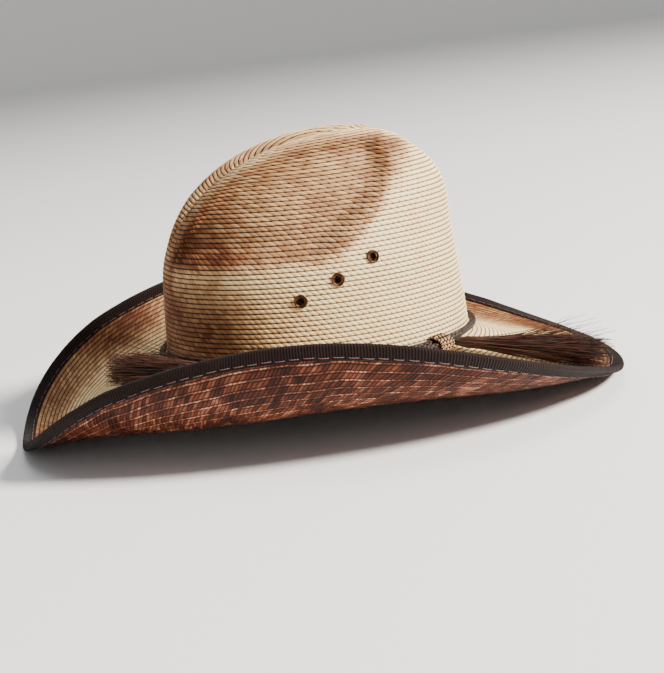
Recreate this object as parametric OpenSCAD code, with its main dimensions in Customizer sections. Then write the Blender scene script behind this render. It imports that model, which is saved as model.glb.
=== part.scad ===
// Palm-leaf cowboy hat with a Gus crease, a curled two-ply brim and a double-tassel horsehair band.
// Worn frame: the crown opening is level, -Y is the front, +X is the wearer's left, Z = 0 is the brim break.
// Each node is then laid in the pose in which the hat rests on the front and back of its brim.

/* [Head opening] */
// Length of the crown oval at the brim break, outside
crown_length = 207; // [198:0.5:212]
// Width of the crown oval at the brim break, outside
crown_width = 171; // [166:0.5:176]
// Radius of the front and back arcs of the oval
end_radius = 72; // [68:0.5:76]

/* [Crown] */
// Height of the ridges above the brim break
crown_height = 141; // [130:1:155]
// Distance of the highest point behind the middle
peak_back = 25; // [15:1:35]
// Depth of the centre crease
crease_depth = 24; // [12:1:30]
// Depth of the two side dents
dent_depth = 11; // [4:1:14]
// Height of the lower edge of the side dents
dent_floor = 64; // [58:1:70]
// Thickness of the sewn braid
crown_wall = 2.4; // [1.8:0.1:3]

/* [Brim] */
// Brim width at the front, measured along the braid
brim_front = 108.5; // [100:0.5:116]
// Brim width at the sides
brim_side = 107; // [98:1:112]
// Brim width at the back
brim_back = 103.5; // [98:0.5:112]
// Slope in degrees at the crown: front, front quarter, side, back quarter, back
slope_in = [-29, -38.5, -24, -30, -20];
// Slope in degrees at the rim: front, front quarter, side, back quarter, back
slope_out = [-13, 77, 88, 26, -12];
// Share of the brim next to the crown that stays straight
curl_start = 0.14; // [0.05:0.01:0.25]
// How late the curl tightens towards the rim
curl_power = 1.14; // [1:0.02:1.4]
// Thickness of the fine upper ply
top_ply = 1.5; // [1.2:0.1:2]
// Thickness of the coarse lower ply
under_ply = 1.7; // [1.2:0.1:2.2]

/* [Binding] */
// Width of ribbon that shows on each face of the brim
binding_width = 6.5; // [5:0.5:13]
// Thickness of the ribbon
ribbon = 0.6; // [0.4:0.1:0.9]
// Diameter of the wire inside the fold
wire_d = 1.6; // [1.2:0.1:2]

/* [Sweatband] */
// Height of the leather band
sweat_height = 36; // [28:1:38]
// Thickness of the leather
sweat_wall = 1.4; // [1:0.1:1.8]
// Diameter of the reed along its lower edge
reed_d = 1.8; // [1.4:0.1:2.2]

/* [Eyelets] */
// Diameter of the open vent
vent_d = 4.4; // [3.6:0.1:4.8]
// Diameter of the rolled flange
flange_d = 8.6; // [7.6:0.1:9.6]
// Direction of each eyelet round the crown, in degrees from the front
eyelet_turn = [78.5, 91, 103.8];
// Height of each eyelet above the brim break
eyelet_height = [43.5, 54.5, 65.5];

/* [Hat band] */
// Diameter of the braided horsehair cord
cord_d = 5; // [4:0.1:5.4]
// Turn of the back slider from straight left, in degrees
back_slider = 33.5; // [30:0.5:38]
// Turn of the front slider from straight left, in degrees
front_slider = -18.5; // [-26:0.5:-14]
// Length of a slider along the cord, in degrees of turn
slider_turn = 5; // [4:0.5:6]
// Length of the back tassel
back_tassel = 104; // [80:1:110]
// Length of the front tassel
front_tassel = 98; // [80:1:104]

/* [Hidden] */

// Sections round the hat, an even number
turns = 72;
turn_step = 360 / turns;
half_w = crown_width / 2;
half_l = crown_length / 2;
// The side arcs of the oval are centred across the middle line from the side they make.
side_radius = (half_w * half_w + pow(half_l - end_radius, 2) - end_radius * end_radius)
    / (2 * (half_w - end_radius));
side_shift = side_radius - half_w;
end_shift = half_l - end_radius;
join_turn = atan2(side_shift, end_shift);

brim_ply = top_ply + under_ply;
fold_gap = 0.15;
// How far the fold of the binding stands beyond the edge of the braid
fold_reach = fold_gap + wire_d + fold_gap + ribbon;
thread_r = 0.3;
// Rows of the brim from the crown to the ribbon
brim_rows = 9;

// Rows of the crown between each pair of its six guide lines
crown_rows = [4, 4, 5, 5, 6];
rows_total = 24;

sweat_gap = 0.5;
barrel_d = vent_d + 1.1;
cord_r = cord_d / 2;
run_gap = 0.3;
// The inner strand hugs the crown, and the outer strand lies beside it on the left.
inner_strand = cord_r + run_gap;
outer_strand = inner_strand + cord_d + 0.2;
inner_strand_z = 4;
outer_strand_z = 2.8;
slider_wall = 1.8;
// Direction of the two lips of a slider, seen from the middle of the inner strand
slider_mouth = 122;

// ---- Small helpers ----

function sum_of(v, i = 0) = i < len(v) ? v[i] + sum_of(v, i + 1) : 0;
function unit(v) = v / norm(v);
function smooth(s) = let(c = min(1, max(0, s))) c * c * (3 - 2 * c);
function half_end(j) = j == 0 || j == 4 ? 0.5 : 1;

// Even, periodic curve through five values that stand 45 degrees apart from front to back
function stations(v, t) = sum_of([
    for (k = [0:4])
        half_end(k) / 2 * cos(k * t) * sum_of([for (j = [0:4]) half_end(j) * v[j] * cos(45 * k * j)])
]);

// Point of the oval where its outward normal has turned t from the front, moved out by o
function oval_point(t, o) =
    abs(cos(t)) > cos(join_turn)
        ? [(end_radius + o) * sin(t), -(end_radius + o) * cos(t) - sign(cos(t)) * end_shift]
        : [(side_radius + o) * sin(t) - sign(sin(t)) * side_shift, -(side_radius + o) * cos(t)];

// ---- Brim surface ----

function brim_width(t) =
    brim_side + (cos(t) > 0 ? brim_front - brim_side : brim_back - brim_side) * cos(t) * cos(t);

function curl(u) = pow(max(0, (min(u, 1) - curl_start) / (1 - curl_start)), curl_power);

// Slope of the brim at distance l from the crown
function brim_slope(t, l) =
    let (a = stations(slope_in, t), b = stations(slope_out, t))
    a + (b - a) * curl(l / brim_width(t));

// Reach and height of the upper face at distance l, as [outward, upward]
function brim_reach(t, l) =
    let (
        w = brim_width(t),
        a = stations(slope_in, t),
        b = stations(slope_out, t),
        n = 20,
        slopes = [for (i = [0.5:1:n]) a + (b - a) * curl(i * l / n / w)]
    )
    [sum_of([for (s = slopes) cos(s)]), sum_of([for (s = slopes) sin(s)])] * l / n;

// Point at distance l from the crown and at a depth below the upper face
function brim_point(t, l, depth) =
    let (
        p = oval_point(t, 0),
        r = brim_reach(t, l),
        s = brim_slope(t, l),
        k = min(1, l / 8),
        out = r[0] + k * depth * sin(s)
    )
    [p[0] + out * sin(t), p[1] - out * cos(t), r[1] - depth * (1 - k + k * cos(s))];

// ---- Crown surface ----

// Height of the ridges as seen from the side
function ridge_height(y) =
    y < peak_back
        ? crown_height * pow(max(0, 1 - pow((peak_back - y) / (half_l + peak_back), 2)), 1 / 3.0)
        : crown_height * pow(max(0, 1 - pow((y - peak_back) / (half_l - peak_back), 3)), 1 / 2.0);

// Point at turn t of one of the six guide lines, which run from the brim break to the centre crease
function guide_line(k, t) =
    let (p = oval_point(t, 0), front = pow(max(0, cos(t)), 3))
    k == 0 ? [p[0], p[1], 0]
    : k == 1 ? let (q = oval_point(t, -3.4 + 1.2 * front)) [q[0], q[1], 40]
    : k == 2 ? let (q = oval_point(t, -7 + 3.3 * front)) [q[0], q[1], 68 - 10 * front]
    : k == 3 ? [p[0] * 0.77, p[1] * (0.91 + 0.025 * cos(t)), 106 - 37 * front]
    : k == 4 ? let (y = -11.5 - 81 * cos(t)) [29 * sin(t) * (1 - 0.28 * cos(t)), y, ridge_height(y)]
    : let (y = -8 - 63 * cos(t), fade = cos(t) * cos(t) * (cos(t) > 0 ? 0.4 : 0.67))
        [0, y, ridge_height(y) - crease_depth * (1 - fade)];

// Guide lines past either end only steer the curve: below the brim break, and across the crease.
function guide_point(k, t) =
    k < 0 ? 2 * guide_line(0, t) - guide_line(1, t)
    : k > 5 ? let (p = guide_line(4, t)) [-p[0], p[1], p[2]]
    : guide_line(k, t);

function guide_heading(k, t) =
    k == 5 ? [sin(t) >= 0 ? -1 : 1, 0, 0] : unit(guide_point(k + 1, t) - guide_point(k - 1, t));

// How far a point of the crown is pushed in by the side dents
function dent(p) =
    let (
        rear = min(52, -8 + 1.26 * (p[2] - dent_floor)),
        below_ridge = ridge_height(p[1]) - p[2]
    )
    dent_depth * smooth((p[2] - dent_floor) / 16) * smooth((rear - p[1]) / 18)
        * smooth((below_ridge - 2) / 12) * min(1, abs(p[0]) / 28);

// Point of the outer face at turn t, with v running from 0 at the brim break to 5 at the crease
function crown_point(t, v) =
    let (
        k = min(4, floor(v)),
        s = v - k,
        a = guide_point(k, t),
        b = guide_point(k + 1, t),
        h = norm(b - a),
        p = a * (2 * s * s * s - 3 * s * s + 1) + b * (3 * s * s - 2 * s * s * s)
            + h * (s * s * s - 2 * s * s + s) * guide_heading(k, t)
            + h * (s * s * s - s * s) * guide_heading(k + 1, t)
    )
    [p[0] - sign(p[0]) * dent(p), p[1], p[2]];

// Outward normal of the crown, with both differences taken inside the surface
function crown_normal(t, v) =
    let (e = 0.02, w = min(v, 5 - 2 * e))
    unit(cross(
        crown_point(t + 1, w) - crown_point(t - 1, w),
        crown_point(t, w + e) - crown_point(t, w - e)
    ));

// Normal on the centre crease, in the middle plane
function crease_normal(t) =
    let (
        u = min(t, 175),
        d = guide_line(5, u + 5) - guide_line(5, u)
    )
    unit([0, -d[2], d[1]]);

// Level on the crown at which its face has height z, found by halving
function level_at(t, z, lo = 0, hi = 3, n = 18) =
    let (mid = (lo + hi) / 2)
    n == 0 ? mid
    : crown_point(t, mid)[2] < z ? level_at(t, z, mid, hi, n - 1)
    : level_at(t, z, lo, mid, n - 1);

// ---- Rest pose ----

rim_turns = [0:turn_step:180];
rim = [for (t = rim_turns) brim_point(t, brim_width(t) + fold_reach, brim_ply / 2)];
front_low = min([for (p = rim) if (p[1] < 0) p[2]]);
back_low = min([for (p = rim) if (p[1] > 0) p[2]]);
rest_pitch = atan2(back_low - front_low, rim[len(rim) - 1][1] - rim[0][1]);
tilted = [
    for (t = rim_turns, depth = [-fold_gap - ribbon, brim_ply + fold_gap + ribbon], back = [0, fold_reach])
        let (p = brim_point(t, brim_width(t) + back, depth))
        [p[1] * cos(rest_pitch) + p[2] * sin(rest_pitch), p[2] * cos(rest_pitch) - p[1] * sin(rest_pitch)]
];
rest_lift = -min([for (q = tilted) q[1]]);
rest_shift = -(min([for (q = tilted) q[0]]) + max([for (q = tilted) q[0]])) / 2;

// Lays a piece drawn in the worn frame into the rest pose
module rest() {
    translate([0, rest_shift, rest_lift]) rotate([-rest_pitch, 0, 0]) children();
}

// ---- Shared shapes ----

// Solid ring through closed sections that follow one another round the hat
module ring_loft(sections) {
    n = len(sections);
    m = len(sections[0]);
    points = [for (s = sections, p = s) p];
    faces = [
        for (i = [0:n - 1], j = [0:m - 1])
            let (
                a = i * m + j,
                b = i * m + (j + 1) % m,
                c = ((i + 1) % n) * m + (j + 1) % m,
                d = ((i + 1) % n) * m + j
            )
            each [[a, b, c], [a, c, d]]
    ];
    polyhedron(points, faces);
}

// Round section of a ring that lies at a fixed offset from the oval
function ring_section(t, out, z, r, sides) =
    [
        for (i = [0:sides - 1])
            let (a = 360 * i / sides, p = oval_point(t, out + r * cos(a)))
            [p[0], p[1], z + r * sin(a)]
    ];

// Child profile swept on the left side arc, between two turns from straight left
module left_arc(from, to) {
    translate([-side_shift, 0]) rotate(from) rotate_extrude(angle = to - from, $fn = 180)
        translate([side_radius, 0]) children();
}

// Closed section of the brim between two depths below its upper face
function ply_section(t, top, bottom) =
    let (
        w = brim_width(t),
        span = w - binding_width,
        stops = concat([for (i = [0:brim_rows]) span * i / brim_rows], [w - binding_width / 2, w])
    )
    concat(
        [for (l = stops) brim_point(t, l, top)],
        [for (i = [len(stops) - 1:-1:0]) brim_point(t, stops[i], bottom)]
    );

// Closed section of the folded ribbon, outside face first
function binding_section(t) =
    let (
        w = brim_width(t),
        outer = fold_gap + ribbon,
        tip = fold_reach,
        outside = [
            [-binding_width, -outer], [-binding_width / 2, -outer], [0, -outer], [tip * 0.6, -outer * 0.75],
            [tip, brim_ply * 0.25], [tip, brim_ply * 0.75],
            [tip * 0.6, brim_ply + outer * 0.75], [0, brim_ply + outer],
            [-binding_width / 2, brim_ply + outer], [-binding_width, brim_ply + outer]
        ],
        inside = [
            [-binding_width, brim_ply + fold_gap], [-binding_width / 2, brim_ply + fold_gap],
            [0, brim_ply + fold_gap], [tip - ribbon, brim_ply * 0.8], [tip - ribbon, brim_ply * 0.2],
            [0, -fold_gap], [-binding_width / 2, -fold_gap], [-binding_width, -fold_gap]
        ]
    )
    [for (q = concat(outside, inside)) brim_point(t, w + q[0], q[1])];

// Round section of a line that follows the brim at distance l from its edge
function line_section(t, l, depth, r, sides) =
    [
        for (i = [0:sides - 1])
            let (a = 360 * i / sides)
            brim_point(t, brim_width(t) + l + r * cos(a), depth - r * sin(a))
    ];

// ---- Crown, brim and binding ----

module crown_shell() {
    levels = [
        for (k = [0:4], i = [0:crown_rows[k] - 1]) k + i / crown_rows[k]
    ];
    half = turns / 2;
    skirt = [for (j = [0:turns - 1]) let (p = oval_point(j * turn_step, 0)) [p[0], p[1], -brim_ply]];
    outer = concat(
        skirt,
        [for (v = levels, j = [0:turns - 1]) crown_point(j * turn_step, v)],
        [for (j = [0:half]) crown_point(j * turn_step, 5)]
    );
    inner = concat(
        [for (z = [-brim_ply, 0], j = [0:turns - 1])
            let (p = oval_point(j * turn_step, -crown_wall)) [p[0], p[1], z]],
        [for (i = [1:rows_total - 1], j = [0:turns - 1])
            crown_point(j * turn_step, levels[i]) - crown_wall * crown_normal(j * turn_step, levels[i])],
        [for (j = [0:half]) crown_point(j * turn_step, 5) - crown_wall * crease_normal(j * turn_step)]
    );
    last = rows_total + 1;
    count = len(outer);
    // The last row is the crease itself, which both sides of the crown share.
    function at(i, j, base) = base + i * turns + (i == last ? min(j % turns, turns - j % turns) : j % turns);
    outside = [
        for (i = [0:last - 1], j = [0:turns - 1])
            each [
                [at(i, j, 0), at(i + 1, j, 0), at(i + 1, j + 1, 0)],
                [at(i, j, 0), at(i + 1, j + 1, 0), at(i, j + 1, 0)]
            ]
    ];
    inside = [
        for (i = [0:last - 1], j = [0:turns - 1])
            each [
                [at(i, j, count), at(i + 1, j + 1, count), at(i + 1, j, count)],
                [at(i, j, count), at(i, j + 1, count), at(i + 1, j + 1, count)]
            ]
    ];
    edge = [
        for (j = [0:turns - 1])
            each [
                [at(0, j, 0), at(0, j + 1, 0), at(0, j + 1, count)],
                [at(0, j, 0), at(0, j + 1, count), at(0, j, count)]
            ]
    ];
    polyhedron(concat(outer, inner), concat(outside, inside, edge));
}

// Sets a child, drawn along +Z, on the left of the crown and square to it, at eyelet i
module at_eyelet(i) {
    v = level_at(eyelet_turn[i], eyelet_height[i]);
    n = crown_normal(eyelet_turn[i], v);
    translate(crown_point(eyelet_turn[i], v))
        rotate([0, acos(n[2]), atan2(n[1], n[0])]) children();
}

module crown() {
    color("wheat") rest() difference() {
        crown_shell();
        for (side = [0, 1], i = [0:2])
            mirror([side, 0, 0]) at_eyelet(i)
                translate([0, 0, -8]) cylinder(d = barrel_d + 0.2, h = 16, $fn = 32);
    }
}

module brim_top() {
    color("tan") rest()
        ring_loft([for (i = [0:turns - 1]) ply_section(i * turn_step, 0, top_ply)]);
}

module brim_under() {
    color("saddlebrown") rest()
        ring_loft([for (i = [0:turns - 1]) ply_section(i * turn_step, top_ply, brim_ply)]);
}

module brim_wire() {
    middle = fold_gap + wire_d / 2;
    color("silver") rest()
        ring_loft([for (i = [0:turns - 1]) line_section(i * turn_step, middle, brim_ply / 2, wire_d / 2, 6)]);
}

module brim_binding() {
    color("#2a1714") rest() ring_loft([for (i = [0:turns - 1]) binding_section(i * turn_step)]);
}

// One line of thread shows on each face of the ribbon, just inside its edge.
module binding_thread() {
    line = -binding_width + 1.3;
    proud = fold_gap + ribbon + thread_r + 0.05;
    color("rosybrown") rest() {
        for (depth = [-proud, brim_ply + proud])
            ring_loft([for (i = [0:turns - 1]) line_section(i * turn_step, line, depth, thread_r, 4)]);
    }
}

// ---- Sweatband ----

function sweat_section(t) =
    let (
        base = -crown_wall - sweat_gap,
        faces = [[base, -1], [base - 1.5, sweat_height / 2], [base - 3.2, sweat_height - 1]],
        back = [for (i = [2:-1:0]) faces[i] - [sweat_wall, 0]]
    )
    [for (q = concat(faces, back)) let (p = oval_point(t, q[0])) [p[0], p[1], q[1]]];

module sweatband() {
    color("#5a3a26") rest() ring_loft([for (i = [0:turns - 1]) sweat_section(i * turn_step)]);
}

module sweatband_reed() {
    out = -crown_wall - sweat_gap - reed_d / 2 + 0.1;
    height = -1.1 - reed_d / 2;
    color("ivory") rest()
        ring_loft([for (i = [0:turns - 1]) ring_section(i * turn_step, out, height, reed_d / 2, 8)]);
}

// Flat bow over the back seam of the sweatband
module sweatband_bow() {
    seam_y = half_l - crown_wall - sweat_gap - sweat_wall - 3.6;
    color("#2a1714") rest() translate([0, seam_y, 18]) rotate([90, 0, 0]) {
        for (side = [0, 1])
            mirror([side, 0, 0]) linear_extrude(1)
                polygon([[0, 1.4], [11, 5], [13, 4], [13, -4], [11, -5], [0, -1.4]]);
        translate([0, 0, -1.2]) cylinder(r = 2.6, h = 2.8, $fn = 32);
    }
}

// ---- Eyelets ----

// Rolled flange outside, barrel through the braid, and the set-over end under the washer
module eyelet(i, side) {
    color("#6b4a2f") rest() mirror([side, 0, 0]) at_eyelet(i) difference() {
        union() {
            cylinder(d = flange_d - 1.2, h = 0.6, $fn = 48);
            rotate_extrude($fn = 48) translate([flange_d / 2 - 0.6, 0.6]) circle(r = 0.6, $fn = 24);
            translate([0, 0, -crown_wall - 1.3]) cylinder(d = barrel_d, h = crown_wall + 1.5, $fn = 48);
            translate([0, 0, -crown_wall - 1.5]) cylinder(d = barrel_d + 1.4, h = 0.5, $fn = 48);
        }
        translate([0, 0, -8]) cylinder(d = vent_d, h = 16, $fn = 48);
    }
}

module eyelet_washer(i, side) {
    under = -crown_wall - 0.9;
    color("#8a6a45") rest() mirror([side, 0, 0]) at_eyelet(i) translate([0, 0, under]) difference() {
        cylinder(d = flange_d, h = 0.6, $fn = 48);
        translate([0, 0, -1]) cylinder(d = barrel_d, h = 3, $fn = 48);
    }
}

// ---- Hat band ----

// The cord goes once round the crown, and its two ends lie side by side on the left.
module band_cord() {
    reach = slider_turn / 2 + 0.5;
    color("#241512") rest() {
        ring_loft([
            for (i = [0:turns - 1]) ring_section(i * turn_step, inner_strand, inner_strand_z, cord_r, 16)
        ]);
        left_arc(front_slider - reach, back_slider + reach)
            translate([outer_strand, outer_strand_z]) circle(d = cord_d, $fn = 32);
    }
}

function arc(middle, r, from, to, n) =
    [for (i = [0:n]) let (a = from + (to - from) * i / n) middle + r * [cos(a), sin(a)]];

// A slider wraps both strands and is open only where the crown backs it.
module slider(turn) {
    inner = [inner_strand, inner_strand_z];
    outer = [outer_strand, outer_strand_z];
    lean = atan2(outer[1] - inner[1], outer[0] - inner[0]);
    small = cord_r + run_gap;
    big = small + slider_wall;
    color("#b08a58") rest() left_arc(turn - slider_turn / 2, turn + slider_turn / 2) polygon(concat(
        arc(outer, big, lean - 90, lean + 90, 12),
        arc(inner, big, lean + 90, slider_mouth, 4),
        arc(inner, small, slider_mouth, lean + 90, 4),
        arc(outer, small, lean + 90, lean - 90, 12),
        arc(inner, small, lean - 90, -slider_mouth, 2),
        arc(inner, big, -slider_mouth, lean - 90, 2)
    ));
}

// ---- Tassels ----

// End of the outer strand at a turn from straight left
function strand_end(turn) =
    let (r = side_radius + outer_strand) [r * cos(turn) - side_shift, r * sin(turn), outer_strand_z];

// Bundle of hair that widens from the cord to its free end
module tassel(root, tip) {
    sides = 12;
    rings = 8;
    run = unit(tip - root);
    across = unit(cross(run, [0, 0, 1]));
    up = cross(across, run);
    points = [
        for (i = [0:rings], j = [0:sides - 1])
            let (
                s = i / rings,
                wide = 2.3 + 10 * pow(s, 1.1),
                thick = 2.3 + 4.2 * s
            )
            root + (tip - root) * s + across * wide * cos(360 * j / sides) + up * thick * sin(360 * j / sides)
    ];
    walls = [
        for (i = [0:rings - 1], j = [0:sides - 1])
            let (a = i * sides + j, b = i * sides + (j + 1) % sides)
            each [[a, b, b + sides], [a, b + sides, a + sides]]
    ];
    ends = [[for (j = [sides - 1:-1:0]) j], [for (j = [0:sides - 1]) rings * sides + j]];
    polyhedron(points, concat(walls, ends));
}

// Each tassel starts a little way past its slider and points away from the other.
back_root = strand_end(back_slider + slider_turn / 2 + 1.9);
front_root = strand_end(front_slider - slider_turn / 2 - 1.9);

module tassel_back() {
    run = unit([6, 104, -20]);
    color("#3a2019") rest() tassel(back_root, back_root + back_tassel * run);
}

module tassel_front() {
    run = unit([-15, -96, 11]);
    color("#3a2019") rest() tassel(front_root, front_root + front_tassel * run);
}

// ---- Nodes ----

crown();
brim_top();
brim_under();
brim_wire();
brim_binding();
binding_thread();
sweatband();
sweatband_reed();
sweatband_bow();
eyelet(0, 0);  // eyelet_left_1
eyelet(1, 0);  // eyelet_left_2
eyelet(2, 0);  // eyelet_left_3
eyelet(0, 1);  // eyelet_right_1
eyelet(1, 1);  // eyelet_right_2
eyelet(2, 1);  // eyelet_right_3
eyelet_washer(0, 0);  // washer_left_1
eyelet_washer(1, 0);  // washer_left_2
eyelet_washer(2, 0);  // washer_left_3
eyelet_washer(0, 1);  // washer_right_1
eyelet_washer(1, 1);  // washer_right_2
eyelet_washer(2, 1);  // washer_right_3
band_cord();
slider(back_slider);  // slider_back
slider(front_slider);  // slider_front
tassel_back();
tassel_front();
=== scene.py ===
"""Palm-leaf cowboy hat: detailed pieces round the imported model, all in its frame.

Shapes are worked out in millimetres in the worn frame (crown opening level, -Y front, +X the wearer's left,
z = 0 at the brim break) and laid in the rest pose by to_row(), as the CAD does.
"""

import math

import bpy
import numpy as np
from mathutils import Matrix, Vector


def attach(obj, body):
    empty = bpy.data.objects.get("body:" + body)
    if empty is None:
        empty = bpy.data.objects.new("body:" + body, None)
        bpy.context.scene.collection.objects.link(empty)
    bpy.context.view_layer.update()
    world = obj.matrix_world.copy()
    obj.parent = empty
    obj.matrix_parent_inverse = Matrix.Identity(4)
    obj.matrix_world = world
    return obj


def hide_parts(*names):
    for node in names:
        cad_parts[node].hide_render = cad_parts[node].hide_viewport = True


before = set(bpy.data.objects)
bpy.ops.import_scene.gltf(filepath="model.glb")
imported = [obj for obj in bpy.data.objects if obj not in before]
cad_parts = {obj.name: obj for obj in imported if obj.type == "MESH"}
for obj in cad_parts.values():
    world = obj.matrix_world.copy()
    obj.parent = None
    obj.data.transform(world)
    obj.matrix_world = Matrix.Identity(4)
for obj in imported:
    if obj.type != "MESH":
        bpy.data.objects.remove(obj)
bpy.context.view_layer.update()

# ---- Driving values, the same as the CAD's ----

CROWN_LENGTH, CROWN_WIDTH, END_RADIUS = 207.0, 171.0, 72.0
CROWN_HEIGHT, PEAK_BACK, CREASE_DEPTH = 141.0, 25.0, 24.0
DENT_DEPTH, DENT_FLOOR, CROWN_WALL = 11.0, 64.0, 2.4
# The rear edge of a side dent leans back as it climbs: furthest back, back at the floor, and lean
DENT_REAR, DENT_REAR_FOOT, DENT_REAR_LEAN = 52, -8, 1.26
BRIM_FRONT, BRIM_SIDE, BRIM_BACK = 108.5, 107.0, 103.5
SLOPE_IN = (-29.0, -38.5, -24.0, -30.0, -20.0)
SLOPE_OUT = (-13.0, 77.0, 88.0, 26.0, -12.0)
CURL_START, CURL_POWER = 0.14, 1.14
TOP_PLY, UNDER_PLY = 1.5, 1.7
BINDING_WIDTH, RIBBON, WIRE_D = 6.5, 0.6, 1.6
SWEAT_HEIGHT, SWEAT_WALL, SWEAT_GAP = 36.0, 1.4, 0.5
EYELET_TURN = (78.5, 91.0, 103.8)
EYELET_HEIGHT = (43.5, 54.5, 65.5)
CORD_D = 5.0
BACK_SLIDER, FRONT_SLIDER, SLIDER_TURN = 33.5, -18.5, 5.0
BACK_TASSEL, FRONT_TASSEL = 104.0, 98.0

HALF_W, HALF_L = CROWN_WIDTH / 2, CROWN_LENGTH / 2
SIDE_RADIUS = (HALF_W**2 + (HALF_L - END_RADIUS) ** 2 - END_RADIUS**2) / (2 * (HALF_W - END_RADIUS))
SIDE_SHIFT, END_SHIFT = SIDE_RADIUS - HALF_W, HALF_L - END_RADIUS
JOIN_COS = math.cos(math.atan2(SIDE_SHIFT, END_SHIFT))
BRIM_PLY = TOP_PLY + UNDER_PLY
FOLD_GAP = 0.15
FOLD_REACH = FOLD_GAP + WIRE_D + FOLD_GAP + RIBBON
RIBBON_FACE = FOLD_GAP + RIBBON
UP = np.array([0.0, 0.0, 1.0])
INNER_STRAND, INNER_Z = CORD_D / 2 + 0.3, 4.0
OUTER_STRAND, OUTER_Z = INNER_STRAND + CORD_D + 0.2, 2.8


def cosd(a):
    return np.cos(np.radians(a))


def sind(a):
    return np.sin(np.radians(a))


def smooth(s):
    c = np.clip(s, 0, 1)
    return c * c * (3 - 2 * c)


def xyz(x, y, z):
    return np.stack(np.broadcast_arrays(x, y, z), -1)


def unit(v):
    return v / np.maximum(np.linalg.norm(v, axis=-1, keepdims=True), 1e-12)


def stations(values, t):
    """Even, periodic curve through five values that stand 45 degrees apart from front to back."""
    end = np.array([0.5, 1, 1, 1, 0.5])
    weights = [sum(end[j] * values[j] * cosd(45 * k * j) for j in range(5)) for k in range(5)]
    return sum(end[k] / 2 * cosd(k * t) * weights[k] for k in range(5))


def oval_point(t, o):
    """Point of the crown oval where its outward normal has turned t from the front, moved out by o."""
    s, c = sind(t), cosd(t)
    at_end = np.abs(c) > JOIN_COS
    x = np.where(at_end, (END_RADIUS + o) * s, (SIDE_RADIUS + o) * s - np.sign(s) * SIDE_SHIFT)
    y = np.where(at_end, -(END_RADIUS + o) * c - np.sign(c) * END_SHIFT, -(SIDE_RADIUS + o) * c)
    return x, y


# ---- Brim surface ----


def brim_width(t):
    c = cosd(t)
    return BRIM_SIDE + np.where(c > 0, BRIM_FRONT - BRIM_SIDE, BRIM_BACK - BRIM_SIDE) * c * c


def curl(u):
    return np.maximum(0, (np.minimum(u, 1) - CURL_START) / (1 - CURL_START)) ** CURL_POWER


def brim_point(t, l, depth):
    """Point of the brim at distance l from the crown and at a depth below the upper face."""
    t, l, depth = np.broadcast_arrays(t, l, depth)
    w, a, b = brim_width(t), stations(SLOPE_IN, t), stations(SLOPE_OUT, t)
    steps = 20
    out, up = np.zeros(t.shape), np.zeros(t.shape)
    for i in range(steps):
        s = a + (b - a) * curl((i + 0.5) * l / steps / w)
        out, up = out + cosd(s) * l / steps, up + sind(s) * l / steps
    s = a + (b - a) * curl(l / w)
    k = np.minimum(1, l / 8)
    x, y = oval_point(t, 0)
    out = out + k * depth * sind(s)
    return xyz(x + out * sind(t), y - out * cosd(t), up - depth * (1 - k + k * cosd(s)))


def rest_pose():
    """Pitch in radians, and the shift and lift that lay the hat on the front and back of its brim."""
    turns = np.arange(0, 181, 5.0)
    w = brim_width(turns)
    rim = brim_point(turns, w + FOLD_REACH, np.full(turns.shape, BRIM_PLY / 2))
    front, back = rim[rim[:, 1] < 0, 2].min(), rim[rim[:, 1] > 0, 2].min()
    pitch = math.atan2(back - front, rim[-1, 1] - rim[0, 1])
    faces = [brim_point(turns, w + reach, np.full(turns.shape, depth))
             for depth in (-RIBBON_FACE, BRIM_PLY + RIBBON_FACE) for reach in (0, FOLD_REACH)]
    p = np.concatenate(faces)
    y = p[:, 1] * math.cos(pitch) + p[:, 2] * math.sin(pitch)
    z = p[:, 2] * math.cos(pitch) - p[:, 1] * math.sin(pitch)
    return pitch, -(y.min() + y.max()) / 2, -z.min()


PITCH, SHIFT, LIFT = rest_pose()
TILT = np.array([
    [1, 0, 0],
    [0, math.cos(PITCH), math.sin(PITCH)],
    [0, -math.sin(PITCH), math.cos(PITCH)],
])


def to_row(p):
    """Worn frame in millimetres to the row frame in metres."""
    return (np.asarray(p) @ TILT.T + [0, SHIFT, LIFT]) / 1000


# ---- Crown surface ----


def ridge_height(y):
    ahead = np.clip(1 - (np.maximum(PEAK_BACK - y, 0) / (HALF_L + PEAK_BACK)) ** 2, 0, 1) ** (1 / 3.0)
    behind = np.clip(1 - (np.maximum(y - PEAK_BACK, 0) / (HALF_L - PEAK_BACK)) ** 3, 0, 1) ** (1 / 2.0)
    return CROWN_HEIGHT * np.where(y < PEAK_BACK, ahead, behind)


def guide_line(k, t):
    """Curve that the crown passes through: 0 at the brim break, 4 along the ridge, 5 down the crease."""
    c, s = cosd(t), sind(t)
    front = np.maximum(0, c) ** 3
    x, y = oval_point(t, 0)
    z = 0
    if k == 1:
        (x, y), z = oval_point(t, -3.4 + 1.2 * front), 40
    elif k == 2:
        (x, y), z = oval_point(t, -7 + 3.3 * front), 68 - 10 * front
    elif k == 3:
        x, y, z = x * 0.77, y * (0.91 + 0.025 * c), 106 - 37 * front
    elif k == 4:
        y = -11.5 - 81 * c
        x, z = 29 * s * (1 - 0.28 * c), ridge_height(y)
    elif k == 5:
        y = -8 - 63 * c
        fade = c * c * np.where(c > 0, 0.4, 0.67)
        x, z = 0, ridge_height(y) - CREASE_DEPTH * (1 - fade)
    return xyz(x, y, z).astype(float)


def guide_point(k, t):
    if k < 0:
        return 2 * guide_line(0, t) - guide_line(1, t)
    if k > 5:
        return guide_line(4, t) * [-1, 1, 1]
    return guide_line(k, t)


def dent_rear(z):
    """How far back the side dents reach at height z."""
    return np.minimum(DENT_REAR, DENT_REAR_FOOT + DENT_REAR_LEAN * (z - DENT_FLOOR))


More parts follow.
